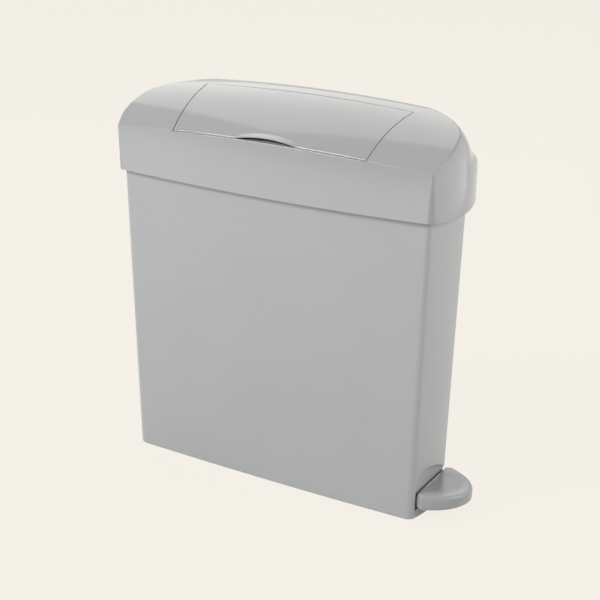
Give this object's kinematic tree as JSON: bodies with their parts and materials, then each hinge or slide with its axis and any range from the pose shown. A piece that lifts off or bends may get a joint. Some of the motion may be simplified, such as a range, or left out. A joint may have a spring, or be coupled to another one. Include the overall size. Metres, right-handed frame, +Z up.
{
  "type": "sanitary container",
  "caption": "Slim pedal-operated washroom waste container: tapered tub, lift-off crowned hood, hinged flap with a screening tray, and a foot pedal linked to it by a rod and crank.",
  "frame": {"origin": "on the floor, under the middle of the hood", "axes": "+X along the length towards the pedal, +Y across the depth towards the rear, where the flap's hinge is, +Z up"},
  "size_m": [0.5412, 0.1476, 0.5496],
  "materials": {
    "body_plastic": "moulded, satin light grey",
    "hood_plastic": "moulded, semi-gloss light grey",
    "pedal_plastic": "moulded, semi-gloss mid grey",
    "inner_plastic": "moulded, satin",
    "steel": "bright drawn or zinc-plated"
  },
  "bodies": {
    "tub": {"body_shell": "body_plastic", "duct_panel": "inner_plastic", "duct_lid": "inner_plastic", "rod_guide": "inner_plastic", "guide_screw_low": "steel", "guide_screw_high": "steel", "bag_frame": "inner_plastic", "pedal_pin": "steel", "pin_keeper_front": "inner_plastic", "pin_keeper_rear": "inner_plastic"},
    "hood": {"hood_cover": "hood_plastic", "hinge_bracket_left": "hood_plastic", "hinge_bracket_right": "hood_plastic"},
    "flap": {"flap_panel": "hood_plastic", "flap_lug_left": "hood_plastic", "flap_lug_right": "hood_plastic", "hinge_pin_left": "steel", "hinge_pin_right": "steel", "crank_arm": "inner_plastic", "modesty_tray": "inner_plastic", "tray_screw_left": "steel", "tray_screw_right": "steel"},
    "pedal": {"pedal_tread": "pedal_plastic", "pedal_arm": "steel", "arm_screw_inner": "steel", "arm_screw_outer": "steel"},
    "rod": {"push_rod": "steel", "rod_shoe": "inner_plastic", "rod_cap": "inner_plastic"}
  },
  "joints": [
    {"name": "hood_lift", "type": "slide", "parent": "tub", "child": "hood", "axis": [0, 0, 1], "range_m": [0, 0.12]},
    {"name": "flap_hinge", "type": "hinge", "parent": "hood", "child": "flap", "pos_m": [0, 0.016, 0.522], "axis": [1, 0, 0], "range_deg": [-65, 0]},
    {"name": "pedal_hinge", "type": "hinge", "parent": "tub", "child": "pedal", "pos_m": [0.216, -0.0015, 0.028], "axis": [0, 1, 0], "range_deg": [0, 13]},
    {"name": "rod_slide", "type": "slide", "parent": "tub", "child": "rod", "axis": [0, 0, 1], "range_m": [0, 0.01019]}
  ],
  "couplings": [
    {"joint": "pedal_hinge", "follows": "flap_hinge", "ratio": -0.2},
    {"joint": "rod_slide", "follows": "flap_hinge", "m_per_rad": -0.00898}
  ]
}
